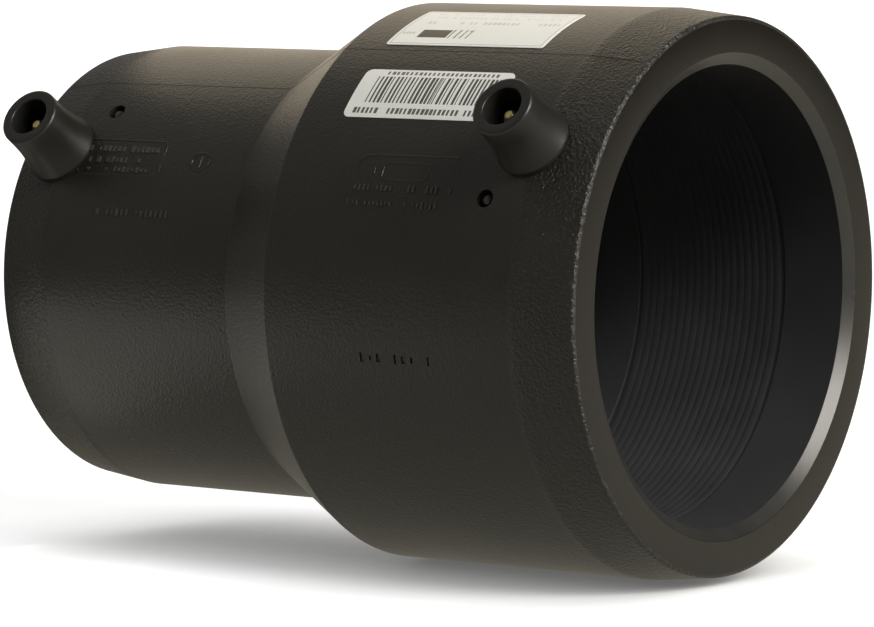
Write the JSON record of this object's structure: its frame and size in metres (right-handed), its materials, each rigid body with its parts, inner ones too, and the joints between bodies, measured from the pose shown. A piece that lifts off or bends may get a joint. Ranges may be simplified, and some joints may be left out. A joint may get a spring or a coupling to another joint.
{
  "type": "electrofusion reducing coupler",
  "caption": "Black polyethylene electrofusion reducer that joins a 110 mm pipe to a 90 mm pipe, with shrouded terminals and fusion indicators.",
  "frame": {"origin": "centre of the 90 mm end's face, which stands on the floor", "axes": "+Z along the pipe axis, out of the 110 mm socket; the terminals point to -Y"},
  "size_m": [0.1372, 0.1524, 0.18],
  "materials": {
    "grained_polyethylene": "fine spark-eroded grain",
    "coated_wire": "satin",
    "smooth_polyethylene": "satin",
    "pin_brass": "satin",
    "indicator_polyethylene": "satin",
    "label_paper": "matt white"
  },
  "bodies": {
    "root": {"moulded_body": "grained_polyethylene", "heating_winding": "coated_wire", "terminal_shroud_110": "smooth_polyethylene", "terminal_shroud_90": "smooth_polyethylene", "contact_pin_110": "pin_brass", "contact_pin_90": "pin_brass", "fusion_indicator_110": "indicator_polyethylene", "fusion_indicator_90": "indicator_polyethylene", "barcode_label": "label_paper", "traceability_label": "label_paper"}
  },
  "joints": []
}
